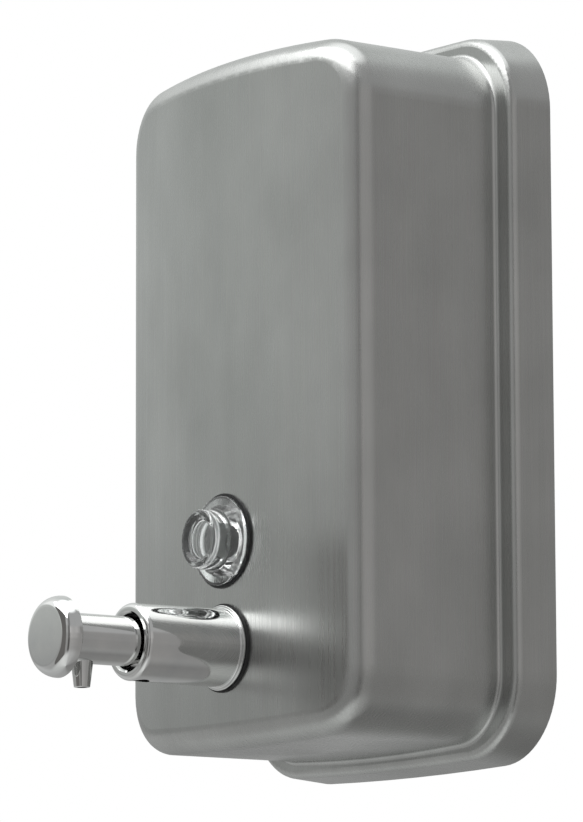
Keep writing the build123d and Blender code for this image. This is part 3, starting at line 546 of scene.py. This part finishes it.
# Lid seal: a flat frame cut from black rubber sheet and glued under the lid.
# The other rubber rings and flaps have the same dull skin with a trace of mould dust.
rubber, rubber_tree, rubber_shader = new_finish("black_rubber", metallic=0, roughness=0.55)
rubber_black = (0.006, 0.006, 0.007)
rubber_dusty = (0.02, 0.02, 0.021)
rubber_skin = cloudy(rubber_tree, scale=900, detail=3)
rubber_dust = cloudy(rubber_tree, scale=150, detail=4)
tones(rubber_tree, rubber_dust, rubber_black, rubber_dusty, rubber_shader.inputs["Base Color"])
dullness(rubber_tree, rubber_skin, low=0.42, high=0.64, shader=rubber_shader)
relief(rubber_tree, rubber_skin, depth=0.00004, strength=0.3, shader=rubber_shader)
dress(rubber, "lid_gasket")

# Lock: a die cast housing, chrome plated, with a turned plug that has a slot for the key.
# Its nut, cam and cam screw are zinc plated steel under the lid.
chrome, chrome_tree, chrome_shader = new_finish("bright_chrome", metallic=1, roughness=0.05)
chrome_dark = (0.71, 0.72, 0.72)
chrome_light = (0.79, 0.79, 0.78)
chrome_smear = cloudy(chrome_tree, scale=140, detail=4)
chrome_polish = cloudy(chrome_tree, scale=1300, detail=2, stretch=(1, 0.08, 1))
tones(chrome_tree, chrome_smear, chrome_dark, chrome_light, chrome_shader.inputs["Base Color"])
dullness(chrome_tree, chrome_smear, low=0.025, high=0.075, shader=chrome_shader)
relief(chrome_tree, chrome_polish, depth=0.000002, strength=0.2, shader=chrome_shader)
dress(chrome, "lock_housing")

nickel, nickel_tree, nickel_shader = new_finish("turned_nickel", metallic=1, roughness=0.2)
nickel_dark = (0.58, 0.56, 0.53)
nickel_light = (0.68, 0.67, 0.64)
plug_forward = 0.038
nickel_where = nickel_tree.nodes.new("ShaderNodeTexCoord")
nickel_centre = nickel_tree.nodes.new("ShaderNodeMapping")
nickel_centre.inputs["Location"].default_value = (0, plug_forward, 0)
nickel_tree.links.new(nickel_where.outputs["Object"], nickel_centre.inputs["Vector"])
nickel_turning = nickel_tree.nodes.new("ShaderNodeTexWave")
nickel_turning.wave_type = "RINGS"
nickel_turning.rings_direction = "Z"
nickel_turning.inputs["Scale"].default_value = 900
nickel_turning.inputs["Distortion"].default_value = 0.6
nickel_tree.links.new(nickel_centre.outputs[0], nickel_turning.inputs["Vector"])
nickel_rings = nickel_turning.outputs["Fac"]
tones(nickel_tree, nickel_rings, nickel_dark, nickel_light, nickel_shader.inputs["Base Color"])
dullness(nickel_tree, nickel_rings, low=0.15, high=0.28, shader=nickel_shader)
relief(nickel_tree, nickel_rings, depth=0.000008, strength=0.3, shader=nickel_shader)
dress(nickel, "lock_plug")
dress(zinc, "lock_nut", "lock_cam", "cam_screw")

# Sight window: one clear acrylic moulding with a flange and a stepped nose, clamped through the front.
# It is a little hazy. A rubber ring sits before the sheet, and a washer and a plastic nut behind it.
acrylic, acrylic_tree, acrylic_shader = new_finish("clear_acrylic", metallic=0, roughness=0.03)
acrylic_shader.inputs["Transmission Weight"].default_value = 0.95
acrylic_shader.inputs["IOR"].default_value = 1.49
acrylic_hazy = (0.84, 0.87, 0.86)
acrylic_clear = (0.95, 0.96, 0.96)
acrylic_haze = cloudy(acrylic_tree, scale=260, detail=3)
tones(acrylic_tree, acrylic_haze, acrylic_hazy, acrylic_clear, acrylic_shader.inputs["Base Color"])
dullness(acrylic_tree, acrylic_haze, low=0.015, high=0.09, shader=acrylic_shader)
dress(acrylic, "sight_window")
dress(rubber, "window_gasket", "window_washer")

# Clamp nut of the window and the pump's cylinder, bush, cap, tube and piston: moulded in white acetal.
# The mould leaves a faint flow pattern and a slight gloss.
white, white_tree, white_shader = new_finish("white_acetal", metallic=0, roughness=0.4)
white_shade = (0.74, 0.74, 0.71)
white_light = (0.84, 0.84, 0.82)
white_flow = cloudy(white_tree, scale=120, detail=3, stretch=(1, 0.4, 1))
tones(white_tree, white_flow, white_shade, white_light, white_shader.inputs["Base Color"])
dullness(white_tree, white_flow, low=0.32, high=0.48, shader=white_shader)
relief(white_tree, white_flow, depth=0.00003, strength=0.2, shader=white_shader)
dress(white, "window_nut", "pump_cylinder", "rod_bush", "inlet_cap", "suction_tube", "piston_head")

# Push valve: sleeve, stem and spout are turned from brass, polished and chrome plated.
# A black rubber ring sits between the sleeve's foot and the tank.
# A grey rubber wiper in the sleeve rubs on the stem.
dress(chrome, "valve_sleeve", "plunger_stem", "spout_nozzle")
dress(rubber, "valve_gasket", "valve_washer")

grey_rubber, grey_tree, grey_shader = new_finish("grey_rubber", metallic=0, roughness=0.45)
grey_dark = (0.05, 0.05, 0.05)
grey_light = (0.1, 0.1, 0.098)
grey_skin = cloudy(grey_tree, scale=700, detail=3)
tones(grey_tree, grey_skin, grey_dark, grey_light, grey_shader.inputs["Base Color"])
dullness(grey_tree, grey_skin, low=0.36, high=0.52, shader=grey_shader)
relief(grey_tree, grey_skin, depth=0.00003, strength=0.3, shader=grey_shader)
dress(grey_rubber, "stem_wiper")

# Push button: turned from brass bar and chromed, with a flat mirror face, a long rounded shoulder to its
# edge and a short hub of the stem's width behind. Its spigot is pressed into the end of the stem.
button_radius = 0.0111
button_face = 0.0078
button_roll = 0.0046
button_front = -0.1252
button_thickness = 0.0051
button_back_round = 0.0003
button_height = -0.0701
button_sides = 96
button_crease = math.radians(40)
button_merge = 0.000001
roll_steps = 24
hub_radius = 0.0068
hub_back = -0.11805
spigot_radius = 0.0026
spigot_back = -0.11605
button_back = button_front + button_thickness
button_profile = [(0, button_front)]
for roll_step in range(roll_steps + 1):
    roll_angle = math.radians(90) * roll_step / roll_steps
    roll_out = button_face + (button_radius - button_face) * math.sin(roll_angle)
    button_profile.append((roll_out, button_front + button_roll * (1 - math.cos(roll_angle))))
button_profile += [
    (button_radius, button_back - button_back_round),
    (button_radius - button_back_round, button_back),
    (hub_radius, button_back),
    (hub_radius, hub_back),
    (spigot_radius, hub_back),
    (spigot_radius, spigot_back),
    (0, spigot_back),
]
button_shape = bmesh.new()
button_points = [button_shape.verts.new((out, along, button_height)) for out, along in button_profile]
for first, second in zip(button_points, button_points[1:]):
    button_shape.edges.new((first, second))
bmesh.ops.spin(
    button_shape,
    geom=button_shape.verts[:] + button_shape.edges[:],
    cent=(0, 0, button_height),
    axis=(0, 1, 0),
    angle=2 * math.pi,
    steps=button_sides,
    use_merge=True,
)
bmesh.ops.remove_doubles(button_shape, verts=button_shape.verts, dist=button_merge)
bmesh.ops.recalc_face_normals(button_shape, faces=button_shape.faces)
for button_facet in button_shape.faces:
    button_facet.smooth = True
button = finished_mesh("push_button_turned", button_shape)
button.data.set_sharp_from_angle(angle=button_crease)
button.data.materials.append(chrome)
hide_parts("push_button")
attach(button, "plunger")

# Valve nut: six-sided, turned and milled from bare brass bar, on the neck of the sleeve inside the tank.
# It has dulled in patches.
brass, brass_tree, brass_shader = new_finish("turned_brass", metallic=1, roughness=0.3)
brass_dull = (0.5, 0.35, 0.16)
brass_bright = (0.74, 0.57, 0.3)
brass_stain = cloudy(brass_tree, scale=180, detail=4)
tones(brass_tree, brass_stain, brass_dull, brass_bright, brass_shader.inputs["Base Color"])
dullness(brass_tree, brass_stain, low=0.2, high=0.42, shader=brass_shader)
dress(brass, "valve_nut")

# Pump seals: a cup seal on the piston, a flap over the inlet and a duckbill in the spout.
# All three are moulded in the same black rubber as the rings.
dress(rubber, "piston_seal", "inlet_valve", "outlet_valve")

# Return spring: six turns of bare stainless wire between the piston and the inlet cap.
# It is wound cold. The pressed button shortens it towards its back end, but here it is built at rest and
# held to the tank.
coil_radius = 0.0042
wire_radius = 0.0004
wire_sides = 12
coil_turns = 6
coil_front = -0.05002
coil_back = -0.03048
coil_height = -0.0701
steps_per_turn = 40
coil_steps = coil_turns * steps_per_turn
coil_shape = bmesh.new()
bmesh.ops.create_circle(coil_shape, cap_ends=False, segments=wire_sides, radius=wire_radius)
bmesh.ops.translate(coil_shape, verts=coil_shape.verts, vec=(coil_radius, coil_front, coil_height))
bmesh.ops.spin(
    coil_shape,
    geom=coil_shape.edges[:],
    cent=(0, 0, coil_height),
    axis=(0, 1, 0),
    dvec=(0, (coil_back - coil_front) / coil_steps, 0),
    angle=2 * math.pi * coil_turns,
    steps=coil_steps,
)
bmesh.ops.remove_doubles(coil_shape, verts=coil_shape.verts, dist=wire_radius / 100)
bmesh.ops.holes_fill(coil_shape, edges=coil_shape.edges[:], sides=0)
bmesh.ops.recalc_face_normals(coil_shape, faces=coil_shape.faces)
for coil_face in coil_shape.faces:
    coil_face.smooth = len(coil_face.verts) == 4
coil = finished_mesh("return_spring_coil", coil_shape)
wire, wire_tree, wire_shader = new_finish("spring_wire", metallic=1, roughness=0.25)
wire_dark = (0.5, 0.5, 0.49)
wire_light = (0.66, 0.66, 0.64)
wire_marks = cloudy(wire_tree, scale=700, detail=3)
tones(wire_tree, wire_marks, wire_dark, wire_light, wire_shader.inputs["Base Color"])
dullness(wire_tree, wire_marks, low=0.18, high=0.34, shader=wire_shader)
coil.data.materials.append(wire)
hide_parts("return_spring")
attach(coil, "tank")
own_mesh(coil)
